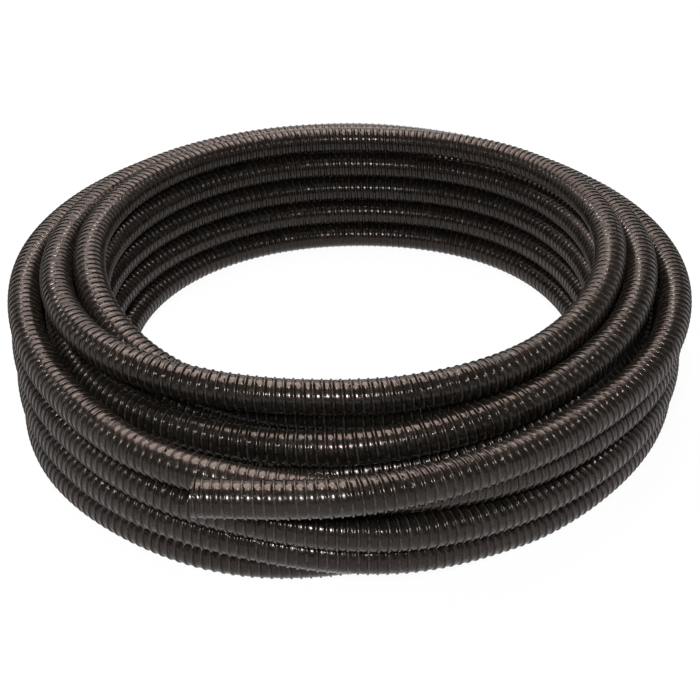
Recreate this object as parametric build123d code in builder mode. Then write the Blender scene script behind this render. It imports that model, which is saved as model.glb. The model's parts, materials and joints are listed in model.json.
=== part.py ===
from build123d import *
import math
import os

import numpy as np

# A free lying coil of ribbed sewer hose: one length of flexible hose with a rib wound round it,
# cut square at both ends. Millimetres, +Z up, origin on the ground at the middle of the coil.

# ---- Hose section --------------------------------------------------------------------------------
hose_bore = 25.4
body_diameter = 30.4                # over the smooth wall between the ribs
rib_height = 1.3
rib_pitch = 8.25
rib_foot_width = 3.4
rib_crest_width = 1.2
hose_diameter = body_diameter + 2 * rib_height      # over the ribs

# ---- Stretches -----------------------------------------------------------------------------------
outer_end_length = 72.0             # the outer cut end runs straight this far
inner_end_length = 42.0             # and the inner cut end this far
swept_turn = 22.5                   # two tangent arcs to every such turn of the coil, degrees
outer_end_angle = 262.5             # where the outer end leaves its straight run, degrees round the coil
ribbed_lap_end = 495.0              # the ribbed stretch reaches this far round the coil, degrees

# ---- Coil layout ---------------------------------------------------------------------------------
# Places in the pile are counted in hose diameters, out from the innermost loops and up from the
# loops on the ground. A lap starts at the front left, where every loop steps over to its next place,
# and runs by the front, the right and the back to the left side.
inner_loop_radius = 278.0           # centre line of the innermost loops
loop_clearance = 1.0                # the settled loops lie this far apart
ground_flat = 0.5                   # the loops on the ground are pressed flat by this much
lap_stations = (225.0, 247.5, 270.0, 292.5, 315.0, 360.0, 405.0, 450.0, 495.0, 540.0)

# Each column of loops: at the last six stations of a lap, how far out and up its top loop is and how
# much further out its bottom loop is than the top one; how high its bottom loop is; and the places
# of each of its loops at the first four stations.
outer_column = {
    "out": (1.83, 1.95, 1.96, 1.97, 1.86, 1.92),
    "lean": (-0.2, -0.13, 0.09, 0.01, 0.02, -0.11),
    "up": (2.97, 3.26, 3.26, 3.46, 3.4, 3.47),
    "base": 0.0,
    "crossing": (
        ((3.9, 3.35), (3.75, 3.42), (3.39, 3.45), (2.33, 3.13)),
        ((2.23, 3.0), (2.71, 3.0), (2.58, 2.75), (2.01, 2.2)),
        ((2.19, 2.0), (2.59, 2.0), (2.69, 1.75), (2.02, 1.15)),
        ((2.24, 1.0), (2.43, 1.0), (2.43, 0.75), (1.8, 0.15)),
    ),
}
middle_column = {
    "out": (0.87, 0.95, 1.24, 1.0, 0.98, 0.93),
    "lean": (0.0, 0.0, 0.0, 0.0, 0.0, 0.0),
    "up": (3.58, 3.99, 3.72, 3.85, 3.91, 3.97),
    "base": 0.5,
    "crossing": (
        ((2.35, 0.0), (2.35, 0.0), (1.81, 0.0), (0.8, 0.0)),
        ((1.07, 0.1), (0.95, 0.3), (0.85, 0.9), (0.87, 1.2)),
        ((1.07, 1.4), (0.95, 1.55), (0.8, 2.0), (0.85, 2.3)),
        ((1.07, 2.7), (1.05, 2.85), (1.07, 3.06), (0.97, 3.35)),
    ),
}
inner_column = {
    "out": (-0.07, -0.14, 0.07, -0.09, -0.04, -0.09),
    "lean": (-0.09, 0.11, 0.4, 0.11, -0.07, 0.02),
    "up": (4.03, 4.51, 4.28, 4.09, 4.1, 4.13),
    "base": 0.0,
    "crossing": (
        ((0.9, 3.97), (0.45, 3.95), (0.09, 3.93), (0.1, 4.02)),
        ((-0.08, 3.4), (-0.3, 3.0), (-0.48, 2.93), (-0.42, 3.0)),
        ((-0.13, 2.4), (-0.38, 2.05), (-0.48, 1.93), (-0.42, 2.0)),
        ((-0.2, 1.4), (-0.38, 1.1), (-0.46, 0.95), (-0.4, 1.0)),
        ((-0.2, 0.4), (-0.4, 0.1), (-0.5, 0.0), (-0.45, 0.0)),
    ),
}
inner_tail = ((-0.5, 0.0), (-1.15, 0.0), (-1.45, 0.0), (-1.7, 0.0))     # left, and on to the front

# ---- Settling ------------------------------------------------------------------------------------
samples_per_lap = 48
settling_steps = 800
smoothing_steps = 740
push_share = 0.5                    # how much of an overlap one step undoes
spread_share = 0.8                  # how much of a push the hose passes on to either side
loose_loops = (0, 7, 8)             # the loops on top, which the others hardly move
loose_weight = 0.2
ground_snap = 0.06                  # a loop nearer to the ground than this lies on it
unused_place = -100.0               # keeps the unused samples of the last lap away from every loop
least_spread = 1e-6                 # stands in for the distance of two samples in one place

# ---- Measuring -----------------------------------------------------------------------------------
measuring_step = 2.0                # the centre line is measured at points this close together
measuring_block = 500               # points compared at a time
neighbour_length = 3 * hose_diameter        # nearer along the hose than this, two points are neighbours
straight_within = 1e-4              # a span that turns less than this runs straight, degrees


def planned_places():
    """Station angles, and the place of the hose at each, column by column in the order it is wound."""
    places = []
    for column, falling in ((outer_column, True), (middle_column, False), (inner_column, True)):
        rows = len(column["crossing"])
        for loop, crossing in enumerate(column["crossing"]):
            row = rows - 1 - loop if falling else loop
            base = column["base"]
            places += crossing
            places += [
                (out + lean * (1 - row / (rows - 1)), base + (up - base) * row / (rows - 1))
                for out, lean, up in zip(column["out"], column["lean"], column["up"])
            ]
    places[-1] = inner_tail[0]
    places += inner_tail[1:]
    laps = math.ceil(len(places) / len(lap_stations))
    angles = [station + 360 * lap for lap in range(laps) for station in lap_stations]
    return np.array(angles[: len(places)]), np.array(places)


def blend(angles, values, wanted):
    """Smooth curve through the stations: a cubic on each span, level where it would turn back."""
    steps = np.diff(angles)
    chords = np.diff(values) / steps
    slopes = np.concatenate(([chords[0]], np.zeros(len(values) - 2), [chords[-1]]))
    means = (chords[:-1] * steps[1:] + chords[1:] * steps[:-1]) / (steps[:-1] + steps[1:])
    slopes[1:-1] = np.where(chords[:-1] * chords[1:] > 0, means, 0)
    span = np.clip(np.searchsorted(angles, wanted, side="right") - 1, 0, len(steps) - 1)
    step = steps[span]
    t = (wanted - angles[span]) / step
    rise = t * t * (3 - 2 * t)
    return (
        values[span] * (1 - rise)
        + values[span + 1] * rise
        + step * t * (1 - t) * (slopes[span] * (1 - t) - slopes[span + 1] * t)
    )


def settled_loops():
    """Angle and place at every sample, after loops that touch have pushed each other apart.

    A row of the table is one lap and a column one direction round the coil, so loops can only touch
    down a column. Two loops that climb together are nearer than they look across one direction, so
    their distance leaves out what lies along them. Every step undoes a share of each overlap and
    spreads the push along the hose.
    """
    stations, places = planned_places()
    angles = np.arange(stations[0], stations[-1] + 1, 360 / samples_per_lap)
    laps = math.ceil(len(angles) / samples_per_lap)
    used = len(angles)
    gap = 1 + loop_clearance / hose_diameter
    sample_length = math.radians(360 / samples_per_lap) * inner_loop_radius / hose_diameter
    planned = np.full((2, laps * samples_per_lap), unused_place)
    for axis in range(2):
        planned[axis, :used] = blend(stations, places[:, axis], angles)
    moved = np.zeros_like(planned)
    weight = np.ones(laps)
    weight[list(loose_loops)] = loose_weight
    one, other = np.triu_indices(laps, 1)
    one_share = (weight[one] / (weight[one] + weight[other]))[:, None]
    for step in range(settling_steps):
        table = (planned + moved).reshape(2, laps, samples_per_lap)
        slope = np.zeros_like(planned)
        slope[:, :used] = np.gradient((planned + moved)[:, :used], sample_length, axis=1)
        slope = slope.reshape(table.shape)
        apart = table[:, other] - table[:, one]
        lean = (slope[:, other] + slope[:, one]) / 2
        along = (apart * lean).sum(axis=0) / np.sqrt(1 + (lean**2).sum(axis=0))
        spread = np.maximum(np.hypot(*apart), least_spread)
        distance = np.sqrt(np.maximum(spread**2 - along**2, 0))
        shift = apart / spread * np.clip(gap - distance, 0, None)
        push = np.zeros_like(table)
        np.subtract.at(push, (slice(None), one), shift * one_share)
        np.add.at(push, (slice(None), other), shift * (1 - one_share))
        moved += push_share * push.reshape(2, -1)
        if step < smoothing_steps:
            beside = (moved[:, : used - 2] + moved[:, 2:used]) / 2
            moved[:, 1 : used - 1] += spread_share * (beside - moved[:, 1 : used - 1])
        moved[1, :used] = np.maximum(moved[1, :used], -planned[1, :used])
    out, up = (planned + moved)[:, :used]
    return angles, out, np.where(up < ground_snap, 0, up)


# ---- Centre line ---------------------------------------------------------------------------------
sample_angles, sample_out, sample_up = settled_loops()
ground_height = hose_diameter / 2 - ground_flat
sample_radii = inner_loop_radius + sample_out * hose_diameter
sample_points = np.stack(
    [
        sample_radii * np.cos(np.radians(sample_angles)),
        sample_radii * np.sin(np.radians(sample_angles)),
        ground_height + sample_up * hose_diameter,
    ],
    axis=1,
)
sample_ways = np.gradient(sample_points, axis=0)
sample_ways[sample_up == 0, 2] = 0      # a loop runs level where it lies on the ground
sample_ways /= np.linalg.norm(sample_ways, axis=1)[:, None]


def at_angle(angle):
    """Point and direction of the hose at a sampled angle round the coil."""
    index = int(round((angle - lap_stations[0]) * samples_per_lap / 360))
    return Vector(*sample_points[index]), Vector(*sample_ways[index])


def biarc_middle(start, start_way, end, end_way):
    """Where two tangent arcs of equal reach meet between two points, and the direction there."""
    chord = end - start
    bend = 2 * (1 - start_way.dot(end_way))
    along = chord.dot(start_way + end_way)
    reach = (math.sqrt(along**2 + bend * chord.dot(chord)) - along) / bend
    from_start = start + start_way * reach
    from_end = end - end_way * reach
    return (from_start + from_end) / 2, (from_end - from_start).normalized()


def wind(stations):
    """Draw the centre line through the stations: a straight run or two tangent arcs on each span."""
    for (start, start_way), (end, end_way) in zip(stations[:-1], stations[1:]):
        if start_way.get_angle(end - start) < straight_within:
            Line(start, end)
            continue
        middle, middle_way = biarc_middle(start, start_way, end, end_way)
        TangentArc(start, middle, tangent=start_way)
        TangentArc(middle, end, tangent=middle_way)


def section_plane(point, way):
    """Plane square to the hose, with its X axis held upright."""
    return Plane(origin=point, x_dir=(0, 0, 1), z_dir=way)


def ribbed_stretch(line):
    """Wall with a rib every pitch along a centre line, one ruled loft, four circles to a rib."""
    rib_count = int(line.length / rib_pitch)
    spacing = line.length / rib_count
    profile = (
        (-rib_foot_width / 2, body_diameter / 2),
        (-rib_crest_width / 2, hose_diameter / 2),
        (rib_crest_width / 2, hose_diameter / 2),
        (rib_foot_width / 2, body_diameter / 2),
    )
    circles = [(0.0, body_diameter / 2)]
    for rib in range(rib_count):
        circles += [(spacing * (rib + 0.5) + offset, radius) for offset, radius in profile]
    circles.append((line.length, body_diameter / 2))
    sections = []
    for distance, radius in circles:
        share = distance / line.length
        with BuildSketch(section_plane(line @ share, line % share)) as section:
            Circle(radius)
        sections.append(section.sketch.face())
    loft(sections, ruled=True)
    return rib_count


def stations_between(first_angle, last_angle):
    """Stations of the laps from one sampled angle to another, both included."""
    first = math.floor(first_angle / swept_turn) + 1
    last = math.ceil(last_angle / swept_turn)
    inner = [turn * swept_turn for turn in range(first, last)]
    return [at_angle(angle) for angle in [first_angle, *inner, last_angle]]


def centre_line(stations):
    """One wire through the stations."""
    with BuildLine() as line:
        wind(stations)
    return line.wire()


def measured_points(wires):
    """Points along the wires, close together, end to end."""
    points = []
    for wire in wires:
        for edge in wire.edges():
            steps = math.ceil(edge.length / measuring_step)
            points += [tuple(edge @ (step / steps)) for step in range(steps)]
    points.append(tuple(wires[-1] @ 1))
    return np.array(points)


def least_gap(points):
    """Least gap between two stretches of the hose that aren't neighbours along it."""
    along = np.concatenate(([0], np.cumsum(np.linalg.norm(np.diff(points, axis=0), axis=1))))
    gap = math.inf
    for first in range(0, len(points), measuring_block):
        block = slice(first, first + measuring_block)
        apart = np.linalg.norm(points[block, None] - points[None], axis=2)
        apart[np.abs(along[block, None] - along[None]) < neighbour_length] = math.inf
        gap = min(gap, apart.min() - hose_diameter)
    return gap


# ---- Stretches of the centre line ----------------------------------------------------------------
end_angle = sample_angles[-1]
outer_leave, outer_way = at_angle(outer_end_angle)
join_point, join_way = at_angle(ribbed_lap_end)
inner_leave, inner_way = at_angle(end_angle)

outer_end_stretch = [(outer_leave - outer_way * outer_end_length, outer_way), (outer_leave, outer_way)]
lap_stretch = stations_between(outer_end_angle, ribbed_lap_end)[:-1]
lap_stretch += [(join_point - join_way * hose_diameter, join_way), (join_point, join_way)]
coil_stretch = [(join_point, join_way), (join_point + join_way * hose_diameter, join_way)]
coil_stretch += stations_between(ribbed_lap_end, end_angle)[1:]
inner_end_stretch = [(inner_leave, inner_way), (inner_leave + inner_way * inner_end_length, inner_way)]

stretches = (outer_end_stretch, lap_stretch, coil_stretch, inner_end_stretch)
wires = [centre_line(stretch) for stretch in stretches]
line_points = measured_points(wires)
turn_radii = [edge.radius for wire in wires for edge in wire.edges().filter_by(GeomType.CIRCLE)]
print("hose length", round(sum(wire.length for wire in wires), 1))
print("turn radii from", round(min(turn_radii), 1), "to", round(max(turn_radii), 1))
print("least gap between loops", round(least_gap(line_points), 3))

# The origin is under the middle of the coil's box.
middle = (line_points.min(axis=0) + line_points.max(axis=0)) / 2
for stretch in stretches:
    stretch[:] = [(point - Vector(middle[0], middle[1], 0), way) for point, way in stretch]

os.makedirs("parts", exist_ok=True)

# ---- Outer end: the cut mouth and its straight run -----------------------------------------------
with BuildPart() as outer_end_hose:
    outer_end_ribs = ribbed_stretch(centre_line(outer_end_stretch))
    with BuildSketch(section_plane(*outer_end_stretch[0])):
        Circle(hose_bore / 2)
    extrude(amount=outer_end_length, mode=Mode.SUBTRACT)
outer_end_hose.part.label = "outer_end_hose"
export_step(outer_end_hose.part, "parts/outer_end_hose.step")

# ---- Outer lap: the ribbed stretch round the outside of the coil ---------------------------------
with BuildPart() as outer_lap_hose:
    with BuildLine() as outer_lap_line:
        wind(lap_stretch)
    outer_lap_ribs = ribbed_stretch(outer_lap_line.wire())
    with BuildSketch(section_plane(*lap_stretch[0])):
        Circle(hose_bore / 2)
    sweep(path=outer_lap_line.wire(), mode=Mode.SUBTRACT)
outer_lap_hose.part.label = "outer_lap_hose"
export_step(outer_lap_hose.part, "parts/outer_lap_hose.step")

# ---- Coil: the other loops, one unbroken tube ----------------------------------------------------
with BuildPart() as coil_hose:
    with BuildLine() as coil_line:
        wind(coil_stretch)
    with BuildSketch(section_plane(*coil_stretch[0])) as coil_section:
        Circle(hose_diameter / 2)
        Circle(hose_bore / 2, mode=Mode.SUBTRACT)
    sweep(path=coil_line.wire())
    swept_volume = coil_hose.part.volume
    split(bisect_by=Plane.XY, keep=Keep.TOP)
coil_hose.part.label = "coil_hose"
export_step(coil_hose.part, "parts/coil_hose.step")
print("coil volume", round(swept_volume), "of", round(coil_section.sketch.area * coil_line.wire().length))

# ---- Inner end: the straight run inside the coil -------------------------------------------------
with BuildPart() as inner_end_hose:
    inner_end_ribs = ribbed_stretch(centre_line(inner_end_stretch))
    with BuildSketch(section_plane(*inner_end_stretch[0])):
        Circle(hose_bore / 2)
    extrude(amount=inner_end_length, mode=Mode.SUBTRACT)
    split(bisect_by=Plane.XY, keep=Keep.TOP)
inner_end_hose.part.label = "inner_end_hose"
export_step(inner_end_hose.part, "parts/inner_end_hose.step")
print("ribs", outer_end_ribs, outer_lap_ribs, inner_end_ribs)
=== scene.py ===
"""Free lying coil of ribbed sewer hose: one hose, wound into thirteen loops, on a pale stage.

The layout of the coil is the one the solids were made from: places in hose diameters, settled so
that loops which touch lie side by side. The hose follows a smooth spline through those places.
"""
import json
import math

import bpy
import numpy as np
from bpy.props import FloatProperty, FloatVectorProperty, IntProperty, PointerProperty
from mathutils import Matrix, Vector


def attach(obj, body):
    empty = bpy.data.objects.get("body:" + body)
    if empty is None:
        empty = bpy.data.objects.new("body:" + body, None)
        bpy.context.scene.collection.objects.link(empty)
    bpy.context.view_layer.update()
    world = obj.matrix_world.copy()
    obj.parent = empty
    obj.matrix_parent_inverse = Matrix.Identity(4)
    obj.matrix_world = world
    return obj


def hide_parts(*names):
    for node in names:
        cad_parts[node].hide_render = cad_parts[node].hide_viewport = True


bl_info = {
    "name": "Sewer hose coil",
    "version": (1, 0, 0),
    "blender": (4, 5, 0),
    "location": "3D View > Sidebar > Hose Coil",
    "description": "Builds a coil of ribbed sewer hose and a plain stage for it",
    "category": "Add Mesh",
}

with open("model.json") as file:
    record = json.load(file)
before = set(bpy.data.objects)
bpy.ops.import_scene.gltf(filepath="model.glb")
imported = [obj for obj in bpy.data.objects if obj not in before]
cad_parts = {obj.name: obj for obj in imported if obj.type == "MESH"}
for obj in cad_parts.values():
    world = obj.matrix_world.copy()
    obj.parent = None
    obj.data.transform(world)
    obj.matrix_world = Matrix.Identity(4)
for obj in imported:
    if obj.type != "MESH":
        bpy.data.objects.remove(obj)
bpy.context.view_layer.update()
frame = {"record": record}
outer_mouth = next(m for m in frame["record"]["mounts"] if m["name"] == "outer_bore")

# ---- Coil layout ---------------------------------------------------------------------------------
# Out from the innermost loops and up from the ground, in hose diameters. Each column has, at the
# last six stations of a lap, the place of its top loop and how much further out its bottom loop is;
# the height of its bottom loop; and the places of each of its loops at the first four stations.
lap_stations = (225.0, 247.5, 270.0, 292.5, 315.0, 360.0, 405.0, 450.0, 495.0, 540.0)
outer_column = {
    "out": (1.83, 1.95, 1.96, 1.97, 1.86, 1.92),
    "lean": (-0.2, -0.13, 0.09, 0.01, 0.02, -0.11),
    "up": (2.97, 3.26, 3.26, 3.46, 3.4, 3.47),
    "base": 0.0,
    "crossing": (
        ((3.9, 3.35), (3.75, 3.42), (3.39, 3.45), (2.33, 3.13)),
        ((2.23, 3.0), (2.71, 3.0), (2.58, 2.75), (2.01, 2.2)),
        ((2.19, 2.0), (2.59, 2.0), (2.69, 1.75), (2.02, 1.15)),
        ((2.24, 1.0), (2.43, 1.0), (2.43, 0.75), (1.8, 0.15)),
    ),
}
middle_column = {
    "out": (0.87, 0.95, 1.24, 1.0, 0.98, 0.93),
    "lean": (0.0, 0.0, 0.0, 0.0, 0.0, 0.0),
    "up": (3.58, 3.99, 3.72, 3.85, 3.91, 3.97),
    "base": 0.5,
    "crossing": (
        ((2.35, 0.0), (2.35, 0.0), (1.81, 0.0), (0.8, 0.0)),
        ((1.07, 0.1), (0.95, 0.3), (0.85, 0.9), (0.87, 1.2)),
        ((1.07, 1.4), (0.95, 1.55), (0.8, 2.0), (0.85, 2.3)),
        ((1.07, 2.7), (1.05, 2.85), (1.07, 3.06), (0.97, 3.35)),
    ),
}
inner_column = {
    "out": (-0.07, -0.14, 0.07, -0.09, -0.04, -0.09),
    "lean": (-0.09, 0.11, 0.4, 0.11, -0.07, 0.02),
    "up": (4.03, 4.51, 4.28, 4.09, 4.1, 4.13),
    "base": 0.0,
    "crossing": (
        ((0.9, 3.97), (0.45, 3.95), (0.09, 3.93), (0.1, 4.02)),
        ((-0.08, 3.4), (-0.3, 3.0), (-0.48, 2.93), (-0.42, 3.0)),
        ((-0.13, 2.4), (-0.38, 2.05), (-0.48, 1.93), (-0.42, 2.0)),
        ((-0.2, 1.4), (-0.38, 1.1), (-0.46, 0.95), (-0.4, 1.0)),
        ((-0.2, 0.4), (-0.4, 0.1), (-0.5, 0.0), (-0.45, 0.0)),
    ),
}
inner_tail = ((-0.5, 0.0), (-1.15, 0.0), (-1.45, 0.0), (-1.7, 0.0))

samples_per_lap = 48
settling_steps = 800
smoothing_steps = 740
push_share = 0.5                    # how much of an overlap one step undoes
spread_share = 0.8                  # how much of a push the hose passes on to either side
loose_loops = (0, 7, 8)             # the loops on top, which the others hardly move
loose_weight = 0.2
ground_snap = 0.06                  # a loop nearer to the ground than this lies on it
outer_end_angle = 262.5             # where the outer end leaves its straight run
unused_place = -100.0               # keeps unused samples away from every loop
least_spread = 1e-6                 # least distance that a push is divided by
run_shares = (1.0, 0.5)             # where a straight run has points, as shares of its length
spline_order = 3
spline_steps = 8                    # points drawn to each of the spline's own

# ---- Stretches -----------------------------------------------------------------------------------
mm_per_metre = 1000
outer_lap_length = 1.57             # the wall's second piece, metres along the hose
coil_pieces = 11                    # pieces that the rest of the coil's wall is made in
chamfer = 0.0004                    # width of the chamfers round a cut, metres
rib_stations = (0.0, 0.35, 0.7, 1.0)  # where the rib is drawn, as shares of its half width
lining_step = 0.012                 # distance between the lining's circles, metres
pitch_samples = 40001               # places at which the turns of the rib are counted
same_place = 1e-7                   # points nearer than this are one, metres

# ---- Stage ---------------------------------------------------------------------------------------
# Metres, each lamp with its place, target, size and colour; the camera stands in front of the coil.
lamps = {
    "window": ((-0.3, 0.95, 2.05), (0.0, 0.0, 0.05), (2.05, 1.75), (1.0, 0.88, 0.82)),
    "back": ((-0.3, 2.4, 1.1), (0.0, 0.0, 0.05), (4.0, 1.0), (1.0, 0.88, 0.82)),
    "ceiling": ((-0.05, -0.1, 1.65), (0.0, 0.0, 0.05), (0.16, 0.16), (1.0, 0.96, 0.92)),
    "key": ((-0.08, -1.02, 0.86), (0.0, -0.3, 0.1), (0.18, 0.18), (0.94, 0.98, 1.0)),
}
room_colour = (1.0, 0.97, 0.94)
camera_place = (-0.0010, -1.0546, 0.7227)
camera_fall = 30.7                  # how far it looks down, degrees
camera_sensor = 36.0
camera_lens = 58.37
camera_shift = -0.0756
floor_rings = (1.0, 4.0, 8.0)       # radii of the level floor's rings
floor_reach, floor_bend, floor_wall = 12.0, 1.5, 2.5
floor_sides = 64
bend_rings = 13

# ---- Surfaces ------------------------------------------------------------------------------------
# Each noise with its scale per metre, detail and roughness; each ease with the values that it runs
# from and to, and what it gives at either.
noises = {
    "drift": (22.0, 3.0, 0.5),
    "grain": (900.0, 3.0, 0.6),
    "mottle": (190.0, 2.0, 0.5),
    "smudge": (34.0, 4.0, 0.65),
    "speck": (640.0, 1.0, 0.5),
    "floor": (0.8, 2.0, 0.5),
}
eases = {
    "drift": (0.3, 0.7, 0.0, 1.0),
    "smudge": (0.60, 0.72, 0.0, 1.0),
    "speck": (0.70, 0.76, 0.0, 1.0),
    "crest": (0.35, 1.0, 0.0, 1.0),
    "worn rib": (0.35, 0.6, 0.0, 1.0),
    "worn lining": (0.5, 0.7, 0.0, 0.2),
    "dust grain": (0.45, 0.75, 0.0, 1.0),
    "dust patches": (0.4, 0.65, 0.04, 0.16),
    "uneven gloss": (0.3, 0.7, 0.0, 0.07),
}
drift_levels = (0.8, 1.25)          # how dark and how pale the wall drifts
speck_dust = 0.35                   # share of dust in a speck
smudge_share, smudge_level = 0.4, 0.45
smudge_roughness, dust_roughness, worn_roughness = 0.08, 0.8, -0.05
ripple_strength, ripple_depth = 0.35, 0.0002
skin_strength, skin_depth = 0.25, 0.00005
floor_level = 0.99                  # how dark the floor drifts

# ---- Names ---------------------------------------------------------------------------------------
lining_name = "hose_lining"
wall_material = "ribbed pvc"
lining_material = "smooth pvc"
rib_attribute = "rib"


class HoseSection(bpy.types.PropertyGroup):
    """Sizes of the hose's section and of its loops"""

    bore: FloatProperty(
        name="Bore", description="Inside diameter", unit="LENGTH",
        default=2 * outer_mouth["dims"]["r_mm"] / mm_per_metre, min=0.005)
    body_diameter: FloatProperty(
        name="Body", description="Outside diameter at the foot of the rib", unit="LENGTH",
        default=0.0304, min=0.006)
    rib_height: FloatProperty(
        name="Rib height", description="How far the rib stands off the body", unit="LENGTH",
        default=0.0013, min=0.0)
    rib_width: FloatProperty(
        name="Rib width", description="Width of the rib at its foot", unit="LENGTH",
        default=0.0027, min=0.001)
    rib_power: FloatProperty(
        name="Rib fullness", description="Power of the rib's curve, 2 for a parabola",
        default=2.8, min=2.0, max=6.0)
    rib_pitch: FloatProperty(
        name="Rib pitch", description="Distance from one turn of the rib to the next",
        unit="LENGTH", default=0.00825, min=0.004)
    end_squeeze: FloatProperty(
        name="End squeeze", description="Share of a pitch by which the turns close up at a cut",
        default=0.45, min=0.0, max=0.6, subtype="FACTOR")
    web_crown: FloatProperty(
        name="Web crown", description="How far the wall swells between two turns of the rib",
        unit="LENGTH", default=0.0004, min=0.0)
    inner_loop_radius: FloatProperty(
        name="Inner loops", description="Radius of the innermost loops", unit="LENGTH",
        default=0.278, min=0.1)
    loop_clearance: FloatProperty(
        name="Loop clearance", description="Gap between loops that touch", unit="LENGTH",
        default=0.001, min=0.0)
    ground_flat: FloatProperty(
        name="Ground flat", description="How much the lowest loops are pressed flat", unit="LENGTH",
        default=0.0005, min=0.0)
    outer_end_length: FloatProperty(
        name="Outer end", description="Straight run of the outer end", unit="LENGTH",
        default=outer_mouth["dims"]["length_mm"] / mm_per_metre, min=0.04)
    inner_end_length: FloatProperty(
        name="Inner end", description="Straight run of the inner end", unit="LENGTH",
        default=0.042, min=0.03)
    sides: IntProperty(
        name="Sides", description="Faces round the hose", default=30, min=12, max=48)


class HoseFinish(bpy.types.PropertyGroup):
    """Colours and gloss of the hose"""

    wall_colour: FloatVectorProperty(
        name="Wall", description="Colour of the wall", subtype="COLOR", size=3,
        default=(0.0055, 0.0047, 0.0036), min=0.0, max=1.0)
    rib_colour: FloatVectorProperty(
        name="Rib", description="Colour of the rigid rib", subtype="COLOR", size=3,
        default=(0.024, 0.019, 0.016), min=0.0, max=1.0)
    dust_colour: FloatVectorProperty(
        name="Dust", description="Colour of the fine dust on the hose", subtype="COLOR", size=3,
        default=(0.055, 0.044, 0.037), min=0.0, max=1.0)
    tint: FloatVectorProperty(
        name="Gloss tint", description="Tint of the gloss", subtype="COLOR", size=3,
        default=(1.0, 0.81, 0.76), min=0.0, max=1.0)
    gloss: FloatProperty(
        name="Gloss", description="Strength of the gloss", default=0.33, min=0.0, max=1.0,
        subtype="FACTOR")
    roughness: FloatProperty(
        name="Roughness", description="Roughness of clean hose", default=0.16, min=0.0, max=1.0,
        subtype="FACTOR")


class HoseStage(bpy.types.PropertyGroup):
    """Floor, lamps and camera"""

    floor_colour: FloatVectorProperty(
        name="Floor", description="Colour of the floor and backdrop", subtype="COLOR", size=3,
        default=(0.9, 0.9, 0.9), min=0.0, max=1.0)
    floor_glow: FloatProperty(
        name="Floor white", description="Share of the floor that shows plain white",
        default=0.95, min=0.0, max=1.0, subtype="FACTOR")
    world_level: FloatProperty(
        name="Room level", description="Light from the pale room", default=0.15, min=0.0)
    window_power: FloatProperty(
        name="Window lamp", description="Power of the wide lamp above and behind, in watts",
        default=100.0, min=0.0)
    back_power: FloatProperty(
        name="Back lamp", description="Power of the wide lamp low behind, in watts",
        default=19.0, min=0.0)
    ceiling_power: FloatProperty(
        name="Ceiling lamp", description="Power of the small lamp over the coil, in watts",
        default=6.0, min=0.0)
    key_power: FloatProperty(
        name="Key lamp", description="Power of the small lamp over the camera, in watts",
        default=15.0, min=0.0)


# ---- Line of the hose ----------------------------------------------------------------------------
def planned_places():
    """Station angles, and the place of the hose at each, column by column in the order it is wound:
    the row of a loop in its column sets its height between the bottom loop and the top loop."""
    places = []
    for column, falling in ((outer_column, True), (middle_column, False), (inner_column, True)):
        rows = len(column["crossing"])
        for loop, crossing in enumerate(column["crossing"]):
            row = rows - 1 - loop if falling else loop
            base = column["base"]
            places += crossing
            places += [
                (out + lean * (1 - row / (rows - 1)), base + (up - base) * row / (rows - 1))
                for out, lean, up in zip(column["out"], column["lean"], column["up"])
            ]
    places[-1] = inner_tail[0]
    places += inner_tail[1:]
    laps = math.ceil(len(places) / len(lap_stations))
    angles = [station + 360 * lap for lap in range(laps) for station in lap_stations]
    return np.array(angles[: len(places)]), np.array(places)


def blend(angles, values, wanted):
    """Smooth curve through the stations: on each span the cubic that rises by 3t^2 - 2t^3 from one
    value to the next, plus the span times t(1 - t) times the difference between 1 - t of its first
    slope and t of its last. A slope is the mean of the two chords beside it, each weighed by the
    other's span, and level where the curve turns back."""
    steps = np.diff(angles)
    chords = np.diff(values) / steps
    slopes = np.concatenate(([chords[0]], np.zeros(len(values) - 2), [chords[-1]]))
    means = (chords[:-1] * steps[1:] + chords[1:] * steps[:-1]) / (steps[:-1] + steps[1:])
    slopes[1:-1] = np.where(chords[:-1] * chords[1:] > 0, means, 0)
    span = np.clip(np.searchsorted(angles, wanted, side="right") - 1, 0, len(steps) - 1)
    step = steps[span]
    t = (wanted - angles[span]) / step
    rise = t * t * (3 - 2 * t)
    return (
        values[span] * (1 - rise)
        + values[span + 1] * rise
        + step * t * (1 - t) * (slopes[span] * (1 - t) - slopes[span + 1] * t)
    )


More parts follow.
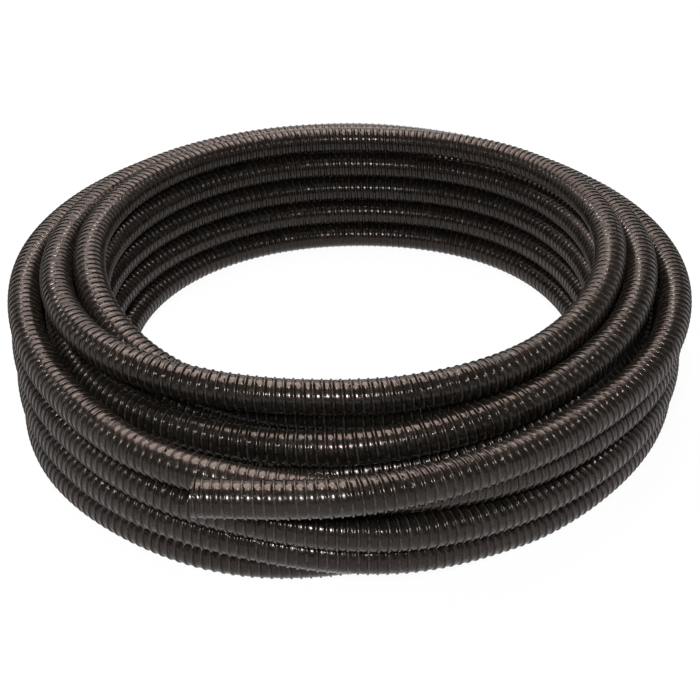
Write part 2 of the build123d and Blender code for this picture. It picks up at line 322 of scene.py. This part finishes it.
def settled_loops(section):
    """Angle and place at every sample after loops that touch have pushed each other apart: in each
    direction round the coil the gap between two loops is their distance less what lies along them,
    and every step undoes a share of each overlap and spreads the push along the hose."""
    diameter = section.body_diameter + 2 * section.rib_height
    stations, places = planned_places()
    angles = np.arange(stations[0], stations[-1] + 1, 360 / samples_per_lap)
    laps = math.ceil(len(angles) / samples_per_lap)
    used = len(angles)
    gap = 1 + section.loop_clearance / diameter
    sample_length = math.radians(360 / samples_per_lap) * section.inner_loop_radius / diameter
    planned = np.full((2, laps * samples_per_lap), unused_place)
    for axis in range(2):
        planned[axis, :used] = blend(stations, places[:, axis], angles)
    moved = np.zeros_like(planned)
    weight = np.ones(laps)
    weight[list(loose_loops)] = loose_weight
    one, other = np.triu_indices(laps, 1)
    one_share = (weight[one] / (weight[one] + weight[other]))[:, None]
    for step in range(settling_steps):
        table = (planned + moved).reshape(2, laps, samples_per_lap)
        slope = np.zeros_like(planned)
        slope[:, :used] = np.gradient((planned + moved)[:, :used], sample_length, axis=1)
        slope = slope.reshape(table.shape)
        apart = table[:, other] - table[:, one]
        lean = (slope[:, other] + slope[:, one]) / 2
        along = (apart * lean).sum(axis=0) / np.sqrt(1 + (lean**2).sum(axis=0))
        spread = np.maximum(np.hypot(*apart), least_spread)
        distance = np.sqrt(np.maximum(spread**2 - along**2, 0))
        shift = apart / spread * np.clip(gap - distance, 0, None)
        push = np.zeros_like(table)
        np.subtract.at(push, (slice(None), one), shift * one_share)
        np.add.at(push, (slice(None), other), shift * (1 - one_share))
        moved += push_share * push.reshape(2, -1)
        if step < smoothing_steps:
            beside = (moved[:, : used - 2] + moved[:, 2:used]) / 2
            moved[:, 1 : used - 1] += spread_share * (beside - moved[:, 1 : used - 1])
        moved[1, :used] = np.maximum(moved[1, :used], -planned[1, :used])
    out, up = (planned + moved)[:, :used]
    return angles, out, np.where(up < ground_snap, 0, up)


def route_points(section):
    """Points that the hose's spline is drawn over, outer end first: the settled places, and a
    straight run before the first and after the last. Over points on a circle the spline runs inside
    it: beside each point, at an eighth of six plus twice the cosine of their spacing, as a share of
    the radius. So the radii are divided by that. The coil is centred by its outer mouth."""
    diameter = section.body_diameter + 2 * section.rib_height
    angles, out, up = settled_loops(section)
    turn = np.radians(angles)
    keeps = 8 / (6 + 2 * math.cos(2 * math.pi / samples_per_lap))
    radii = (section.inner_loop_radius + out * diameter) * keeps
    height = diameter / 2 - section.ground_flat + up * diameter
    points = np.stack([radii * np.cos(turn), radii * np.sin(turn), height], axis=1)
    ways = np.gradient(points, axis=0)
    ways[up == 0, 2] = 0
    ways /= np.linalg.norm(ways, axis=1)[:, None]
    first = int(round((outer_end_angle - angles[0]) * samples_per_lap / 360))
    runs = np.array(run_shares)[:, None]
    start = points[first] - ways[first] * section.outer_end_length * runs
    end = points[-1] + ways[-1] * section.inner_end_length * runs[::-1]
    points = np.concatenate([start, points[first:], end])
    points[:, :2] += np.array(mouth_centre())[:2] - points[0, :2]
    return points


def mouth_centre():
    """Middle of the outer cut: half the bore's length from its middle, along its axis."""
    half = outer_mouth["dims"]["length_mm"] / mm_per_metre / 2
    return [p + a * half for p, a in zip(outer_mouth["pos_m"], outer_mouth["axis"])]


def spline_line(points):
    """The points of a smooth open spline drawn over the route's points."""
    curve = bpy.data.curves.new("hose line", "CURVE")
    curve.dimensions = "3D"
    spline = curve.splines.new("NURBS")
    spline.points.add(len(points) - 1)
    spline.points.foreach_set("co", np.column_stack([points, np.ones(len(points))]).ravel())
    spline.order_u = spline_order
    spline.use_endpoint_u = True
    curve.resolution_u = spline_steps
    holder = bpy.data.objects.new("hose line", curve)
    mesh = bpy.data.meshes.new_from_object(holder)
    line = np.empty(len(mesh.vertices) * 3)
    mesh.vertices.foreach_get("co", line)
    bpy.data.objects.remove(holder)
    bpy.data.curves.remove(curve)
    bpy.data.meshes.remove(mesh)
    return line.reshape(-1, 3)


class HoseLine:
    """Line of the hose with a frame that stays upright: at a distance along it, the point, the way
    the hose runs, the level direction to its left and the one square to both, upwards."""

    def __init__(self, section):
        self.points = spline_line(route_points(section))
        steps = np.linalg.norm(np.diff(self.points, axis=0), axis=1)
        self.along = np.concatenate([[0], np.cumsum(steps)])
        self.length = self.along[-1]
        ways = np.gradient(self.points, self.along, axis=0)
        self.ways = ways / np.linalg.norm(ways, axis=1)[:, None]

    def at(self, distances):
        """Point, way, left and up at each distance, each read between the line's own points."""
        point, way = (
            np.stack([np.interp(distances, self.along, side) for side in table.T], axis=-1)
            for table in (self.points, self.ways)
        )
        way /= np.linalg.norm(way, axis=-1, keepdims=True)
        left = np.stack([-way[..., 1], way[..., 0], np.zeros(way.shape[:-1])], axis=-1)
        left /= np.linalg.norm(left, axis=-1, keepdims=True)
        return point, way, left, np.cross(way, left)


# ---- Meshes --------------------------------------------------------------------------------------
def surface(name, points, faces, normals=None, rib=None):
    """Mesh object from whole arrays of points and faces, shaded by the given normals."""
    mesh = bpy.data.meshes.new(name)
    mesh.vertices.add(len(points))
    mesh.vertices.foreach_set("co", points.astype(np.float32).ravel())
    corners = faces.shape[1]
    mesh.loops.add(faces.size)
    mesh.loops.foreach_set("vertex_index", faces.astype(np.int32).ravel())
    mesh.polygons.add(len(faces))
    mesh.polygons.foreach_set("loop_start", np.arange(len(faces), dtype=np.int32) * corners)
    mesh.update(calc_edges=True)
    mesh.shade_smooth()
    if rib is not None:
        layer = mesh.attributes.new(rib_attribute, "FLOAT", "POINT")
        layer.data.foreach_set("value", rib.astype(np.float32))
    if normals is not None:
        mesh.normals_split_custom_set_from_vertices(normals.astype(np.float32))
    piece = bpy.data.objects.new(name, mesh)
    bpy.context.scene.collection.objects.link(piece)
    return piece


def grid_faces(rows, columns, closed):
    """Faces of a grid of points, row by row; a closed grid joins its last column to its first."""
    row, column = np.meshgrid(
        np.arange(rows - 1), np.arange(columns if closed else columns - 1), indexing="ij")
    following = (column + 1) % columns
    corner = row * columns
    return np.stack(
        [corner + column, corner + following, corner + columns + following,
         corner + columns + column], axis=-1).reshape(-1, 4)


def rib_profile(section):
    """Places across one pitch, counted from the middle of the rib in pitches, at which the wall's
    section is drawn."""
    foot = section.rib_width / section.rib_pitch / 2
    half = [share * foot for share in rib_stations]
    third = (1 - 2 * foot) / 3
    return np.array([*half, foot + third, 1 - foot - third, *(1 - part for part in half[:0:-1])])


def wall_section(section, phase):
    """Radius of the wall, its slope along the hose and the share of the rib's height, by phase, the
    place along the wall in pitches. The rib falls from its crest by its height times a power of the
    share of its half width. The web between two turns is a parabola, highest in the middle by the
    crown. The two meet at a crease."""
    pitch = section.rib_pitch
    across = (phase - np.round(phase)) * pitch
    half_rib, half_web = section.rib_width / 2, (pitch - section.rib_width) / 2
    on_rib = np.abs(across) < half_rib
    power = section.rib_power
    aside = np.minimum(np.abs(across) / half_rib, 1)
    share = 1 - aside**power
    rib_slope = -power * section.rib_height * aside ** (power - 1) * np.sign(across) / half_rib
    from_middle = np.where(across > 0, across - pitch / 2, across + pitch / 2) / half_web
    crown = np.where(on_rib, 0, section.web_crown * (1 - from_middle**2))
    web_slope = -2 * section.web_crown * from_middle / half_web
    radius = section.body_diameter / 2 + section.rib_height * share + crown
    return radius, np.where(on_rib, rib_slope, web_slope), share


def pitch_table(section, length):
    """Distances along the hose and the turns of the rib up to each: one turn a pitch, plus a gain
    that grows to the end squeeze as one less the exponential of minus the distance in pitches, so
    the turns are closer near the outer cut."""
    distance = np.linspace(0, length, pitch_samples)
    gained = section.end_squeeze * (1 - np.exp(-distance / section.rib_pitch))
    return distance, distance / section.rib_pitch + gained


def wall_piece(name, section, line, first, last):
    """One stretch of the wall as a strip wound on the hose, from its first tick to its last, one
    tick to each side of a turn. Along the strip the angle grows evenly, across it lie the places of
    one pitch, and the edge of each turn is the edge of the next. The point is the line's point plus
    the section's radius towards the angle. The outward normal is that direction, less the section's
    slope along the hose, plus its slope round the hose: the slope times the pitch over the
    circumference. Past either cut a point stays on the cut, and faces with no area are left out."""
    sides = section.sides
    across = rib_profile(section)
    strips = len(across)
    distance, turns = pitch_table(section, line.length)
    ticks = np.arange(first, last + sides + 1)
    wound = ticks[:, None] / sides + across[None] - 1
    kept = np.ones(wound.shape, bool)
    kept[last - first + 1 :, 1:] = False
    along = np.interp(wound, turns, distance)
    angle = np.broadcast_to(2 * math.pi * ticks[:, None] / sides, wound.shape)
    number = np.cumsum(kept).reshape(kept.shape) - 1
    along, angle = along[kept], angle[kept]
    point, way, left, up = line.at(along)
    radius, slope, share = wall_section(
        section, np.interp(along, distance, turns) - angle / (2 * math.pi))
    outwards = np.cos(angle)[:, None] * left + np.sin(angle)[:, None] * up
    round_it = np.cos(angle)[:, None] * up - np.sin(angle)[:, None] * left
    points = point + radius[:, None] * outwards
    points[:, 2] = np.maximum(points[:, 2], 0)
    round_slope = slope * section.rib_pitch / (2 * math.pi * radius)
    normals = outwards - slope[:, None] * way + round_slope[:, None] * round_it
    normals /= np.linalg.norm(normals, axis=1)[:, None]
    number = np.column_stack([number, np.append(number[sides:, 0], number[:sides, 0])])
    tick, strip = np.meshgrid(np.arange(last - first), np.arange(strips), indexing="ij")
    faces = np.stack(
        [number[tick, strip], number[tick + 1, strip], number[tick + 1, strip + 1],
         number[tick, strip + 1]], axis=-1).reshape(-1, 4)
    at_cut = (wound <= turns[0]) | (wound >= turns[-1])
    if at_cut.any():
        points, faces, normals, share = merged(points, faces, normals, share)
    return surface(name, points, faces, normals, share)


def merged(points, faces, normals, share):
    """The same surface with points in one place made one, in triangles, without the empty ones."""
    keys = np.round(points / same_place).astype(np.int64)
    _, kept, place = np.unique(keys, axis=0, return_index=True, return_inverse=True)
    faces = place.reshape(-1)[faces]
    triangles = np.concatenate([faces[:, [0, 1, 2]], faces[:, [0, 2, 3]]])
    a, b, c = triangles.T
    triangles = triangles[(a != b) & (b != c) & (c != a)]
    return points[kept], triangles, normals[kept], share[kept]


# ---- Materials -----------------------------------------------------------------------------------
class Nodes:
    """Short way to add and join shader nodes of one material."""

    def __init__(self, name):
        self.material = bpy.data.materials.new(name)
        self.material.use_nodes = True
        self.tree = self.material.node_tree
        self.tree.nodes.clear()

    def add(self, kind, inputs=(), **settings):
        """Node of that kind with its settings; an input is joined to a socket or set to a value."""
        node = self.tree.nodes.new("ShaderNode" + kind)
        for key, value in settings.items():
            setattr(node, key, value)
        for key, value in dict(inputs).items():
            if isinstance(value, bpy.types.NodeSocket):
                self.tree.links.new(value, node.inputs[key])
            else:
                node.inputs[key].default_value = value
        return node

    def noise(self, place, name):
        """Noise of that name, from about 0 to 1."""
        scale, detail, roughness = noises[name]
        return self.add(
            "TexNoise",
            {"Vector": place, "Scale": scale, "Detail": detail, "Roughness": roughness},
        ).outputs["Fac"]

    def ease(self, value, name):
        """Value eased from one level to another, by the ease of that name."""
        low, high, start, end = eases[name]
        return self.add(
            "MapRange",
            {"Value": value, "From Min": low, "From Max": high, "To Min": start, "To Max": end},
            interpolation_type="SMOOTHSTEP",
        ).outputs["Result"]

    def math(self, operation, one, two):
        """Result of that operation on two sockets or numbers."""
        return self.add("Math", {0: one, 1: two}, operation=operation).outputs["Value"]

    def mix(self, share, one, two):
        """Colour that goes from one to two with the share."""
        return self.add("Mix", {0: share, 6: one, 7: two}, data_type="RGBA").outputs[2]


def rgba(colour, level=1.0):
    """Opaque colour, made darker or paler by the level."""
    return (*(part * level for part in colour), 1.0)


def pvc_material(name, finish, ribbed):
    """Dark gloss plastic. Its colour drifts slowly along the hose, is paler on the rib and dulled
    by fine dust, specks and a few smudges; the gloss is uneven, and the skin has a faint ripple."""
    n = Nodes(name)
    place = n.add("TexCoord").outputs["Object"]
    drift, smudge, speck = (
        n.ease(n.noise(place, key), key) for key in ("drift", "smudge", "speck"))
    grain, mottle = n.noise(place, "grain"), n.noise(place, "mottle")
    dark, pale = (rgba(finish.wall_colour, level) for level in drift_levels)
    colour = n.mix(drift, dark, pale)
    if ribbed:
        rib = n.add("Attribute", attribute_name=rib_attribute).outputs["Fac"]
        worn = n.math("MULTIPLY", n.ease(rib, "crest"), n.ease(mottle, "worn rib"))
        colour = n.mix(worn, colour, rgba(finish.rib_colour))
    else:
        worn = n.ease(mottle, "worn lining")
    dust = n.math("MULTIPLY", n.ease(grain, "dust grain"), n.ease(mottle, "dust patches"))
    dust = n.math("MAXIMUM", dust, n.math("MULTIPLY", speck, speck_dust))
    colour = n.mix(dust, colour, rgba(finish.dust_colour))
    smudged = n.math("MULTIPLY", smudge, smudge_share)
    colour = n.mix(smudged, colour, rgba(finish.wall_colour, smudge_level))
    rough = n.math("ADD", n.ease(mottle, "uneven gloss"), finish.roughness)
    for part, change in (
            (smudge, smudge_roughness), (dust, dust_roughness), (worn, worn_roughness)):
        rough = n.math("ADD", rough, n.math("MULTIPLY", part, change))
    ripple = n.add(
        "Bump", {"Height": mottle, "Strength": ripple_strength, "Distance": ripple_depth})
    skin = n.add(
        "Bump",
        {"Height": grain, "Strength": skin_strength, "Distance": skin_depth,
         "Normal": ripple.outputs["Normal"]},
    )
    shader = n.add("BsdfPrincipled", {
        "Base Color": colour, "Roughness": rough, "Normal": skin.outputs["Normal"],
        "Specular IOR Level": finish.gloss, "Specular Tint": rgba(finish.tint),
    })
    n.add("OutputMaterial", {"Surface": shader.outputs["BSDF"]})
    return n.material


def stage_material(stage):
    """Pale matt floor which shows white to the camera and in gloss and glass, and keeps a
    shadow."""
    n = Nodes("stage white")
    ray = n.add("LightPath").outputs
    seen = n.math("MAXIMUM", ray["Is Camera Ray"],
                  n.math("MAXIMUM", ray["Is Glossy Ray"], ray["Is Transmission Ray"]))
    place = n.add("TexCoord").outputs["Object"]
    drift = n.ease(n.noise(place, "floor"), "drift")
    colour = n.mix(drift, rgba(stage.floor_colour, floor_level), rgba(stage.floor_colour))
    matt = n.add("BsdfDiffuse", {"Color": colour}).outputs["BSDF"]
    white = n.add("Emission", {"Color": rgba((1, 1, 1)), "Strength": 1.0}).outputs["Emission"]
    share = n.math("MULTIPLY", seen, stage.floor_glow)
    surface_mix = n.add("MixShader", {0: share, 1: matt, 2: white})
    n.add("OutputMaterial", {"Surface": surface_mix.outputs["Shader"]})
    return n.material


# ---- Operators -----------------------------------------------------------------------------------
class HOSE_OT_stage(bpy.types.Operator):
    """Make the pale floor and backdrop, the lamps and the camera"""

    bl_idname = "hose.stage"
    bl_label = "Stage"

    def execute(self, context):
        """Floor and backdrop first, then the light of the room, the lamps and the camera."""
        stage = context.scene.hose_stage
        self.backdrop(stage)
        world = bpy.data.worlds.new("pale room")
        context.scene.world = world
        world.use_nodes = True
        background = world.node_tree.nodes["Background"]
        background.inputs["Color"].default_value = rgba(room_colour)
        background.inputs["Strength"].default_value = stage.world_level
        for name in lamps:
            self.lamp(context, name, getattr(stage, f"{name}_power"))
        self.camera(context)
        context.scene.view_settings.view_transform = "Standard"
        return {"FINISHED"}

    def backdrop(self, stage):
        """Bowl by turning a profile: a level floor, a quarter circle and an upright wall."""
        quarter = np.linspace(0, math.pi / 2, bend_rings)
        radii = np.concatenate([
            floor_rings, floor_reach + floor_bend * np.sin(quarter), [floor_reach + floor_bend]])
        heights = np.concatenate([
            np.zeros(len(floor_rings)), floor_bend * (1 - np.cos(quarter)), [floor_wall]])
        turn = np.arange(floor_sides) * 2 * math.pi / floor_sides
        rings = np.stack([
            radii[:, None] * np.cos(turn), radii[:, None] * np.sin(turn),
            np.broadcast_to(heights[:, None], (len(radii), floor_sides))], axis=-1).reshape(-1, 3)
        faces = grid_faces(len(radii), floor_sides, True)[:, ::-1]
        inner = np.arange(floor_sides)
        middle = np.full(floor_sides, len(rings))
        fan = np.stack([middle, inner, (inner + 1) % floor_sides], axis=1)
        points = np.concatenate([rings, [[0, 0, 0]]])
        triangles = np.concatenate([faces[:, [0, 1, 2]], faces[:, [0, 2, 3]], fan])
        floor = surface("stage_floor", points, triangles)
        floor.data.materials.append(stage_material(stage))

    def lamp(self, context, name, power):
        """Rectangular lamp that lights but isn't seen."""
        place, target, size, colour = lamps[name]
        data = bpy.data.lights.new(f"{name} lamp", "AREA")
        data.shape = "RECTANGLE"
        data.size, data.size_y = size
        data.energy = power
        data.color = colour
        lamp = bpy.data.objects.new(f"{name} lamp", data)
        lamp.location = place
        aim = Vector(target) - Vector(place)
        lamp.rotation_euler = aim.to_track_quat("-Z", "Y").to_euler()
        lamp.visible_camera = False
        context.scene.collection.objects.link(lamp)

    def camera(self, context):
        """Camera in front of the coil, looking down on it."""
        data = bpy.data.cameras.new("camera")
        data.sensor_width = camera_sensor
        data.lens = camera_lens
        data.shift_y = camera_shift
        camera = bpy.data.objects.new("camera", data)
        camera.location = camera_place
        camera.rotation_euler = (math.radians(90 - camera_fall), 0, 0)
        context.scene.collection.objects.link(camera)
        context.scene.camera = camera


class HOSE_OT_lining(bpy.types.Operator):
    """Make the hose's smooth lining, from one cut to the other"""

    bl_idname = "hose.lining"
    bl_label = "Lining"

    def execute(self, context):
        """Tube of circles square to the line, faces towards the line, with a ring at either end
        that closes it onto the wall: the ring's outer edge is the wall's section at the cut."""
        section = context.scene.hose_section
        line = HoseLine(section)
        sides = section.sides
        stations = np.linspace(0, line.length, int(line.length / lining_step))
        angle = np.arange(sides) * 2 * math.pi / sides
        turns = pitch_table(section, line.length)[1]
        rims = [
            wall_section(section, end - angle / (2 * math.pi))[0] for end in (turns[0], turns[-1])]
        bore = np.full((len(stations), sides), section.bore / 2)
        mouth = np.full((1, sides), section.bore / 2 + chamfer)
        first, last = (rim[None] for rim in rims)
        radii = np.concatenate([first, first - chamfer, mouth, bore, mouth, last - chamfer, last])
        at = np.concatenate([
            [0, 0, 0, chamfer], stations[1:-1], [line.length - chamfer] + [line.length] * 3])
        point, _, left, up = line.at(at)
        outwards = (np.cos(angle)[None, :, None] * left[:, None]
                    + np.sin(angle)[None, :, None] * up[:, None])
        points = (point[:, None] + radii[..., None] * outwards).reshape(-1, 3)
        points[:, 2] = np.maximum(points[:, 2], 0)
        piece = surface(lining_name, points, grid_faces(len(at), sides, True))
        piece.data.materials.append(
            pvc_material(lining_material, context.scene.hose_finish, ribbed=False))
        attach(piece, "root")
        return {"FINISHED"}


class HOSE_OT_wall(bpy.types.Operator):
    """Make the hose's ribbed wall, one piece to each stretch and loop"""

    bl_idname = "hose.wall"
    bl_label = "Ribbed wall"

    def execute(self, context):
        """Each piece runs from the last one's end to its own, and the last on past the cut by the
        turn that the strip is wide."""
        section = context.scene.hose_section
        line = HoseLine(section)
        material = pvc_material(wall_material, context.scene.hose_finish, ribbed=True)
        distance, turns = pitch_table(section, line.length)
        lap_end = section.outer_end_length + outer_lap_length
        stretch = (line.length - section.inner_end_length - lap_end) / coil_pieces
        ends = [
            ("outer_end_wall", section.outer_end_length, "outer_end_hose"),
            ("outer_lap_wall", lap_end, "outer_lap_hose"),
            *((f"coil_wall_{number:02d}", lap_end + stretch * number, "coil_hose")
              for number in range(1, coil_pieces + 1)),
        ]
        pieces = [
            (name, int(np.interp(end, distance, turns) * section.sides), node)
            for name, end, node in ends
        ]
        last_tick = math.ceil((turns[-1] + 1) * section.sides)
        pieces.append(("inner_end_wall", last_tick, "inner_end_hose"))
        first = 0
        for name, last, node in pieces:
            piece = wall_piece(name, section, line, first, last)
            piece.data.materials.append(material)
            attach(piece, "root")
            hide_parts(node)
            first = last
        return {"FINISHED"}


class HOSE_OT_cord(bpy.types.Operator):
    """Work out the line of the hose again; nothing is made from it"""

    bl_idname = "hose.cord"
    bl_label = "Hose"

    def execute(self, context):
        """Work out the hose's line from its section, and make or set nothing else."""
        section = context.scene.hose_section
        line = HoseLine(section)
        return {"FINISHED"}


class HOSE_PT_panel(bpy.types.Panel):
    """Sizes, colours and buttons of the hose coil"""

    bl_label = "Hose Coil"
    bl_idname = "HOSE_PT_panel"
    bl_space_type = "VIEW_3D"
    bl_region_type = "UI"
    bl_category = "Hose Coil"

    def draw(self, context):
        """A box for each group of settings, then a button for each operator."""
        for group in (context.scene.hose_section, context.scene.hose_finish,
                      context.scene.hose_stage):
            box = self.layout.box()
            for name in group.bl_rna.properties.keys():
                if name not in ("name", "rna_type"):
                    box.prop(group, name)
        for operator in operators:
            self.layout.operator(operator.bl_idname)


operators = (HOSE_OT_stage, HOSE_OT_lining, HOSE_OT_wall, HOSE_OT_cord)
groups = {"hose_section": HoseSection, "hose_finish": HoseFinish, "hose_stage": HoseStage}


def register():
    """Add the settings, operators and panel."""
    for kind in (*groups.values(), *operators, HOSE_PT_panel):
        bpy.utils.register_class(kind)
    for name, group in groups.items():
        setattr(bpy.types.Scene, name, PointerProperty(type=group))


def unregister():
    """Take them away again."""
    for name in groups:
        delattr(bpy.types.Scene, name)
    for kind in reversed((*groups.values(), *operators, HOSE_PT_panel)):
        bpy.utils.unregister_class(kind)


def main():
    """Register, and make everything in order."""
    register()
    bpy.ops.hose.stage()
    bpy.ops.hose.lining()
    bpy.ops.hose.wall()
    bpy.ops.hose.cord()


if __name__ == "__main__":
    main()
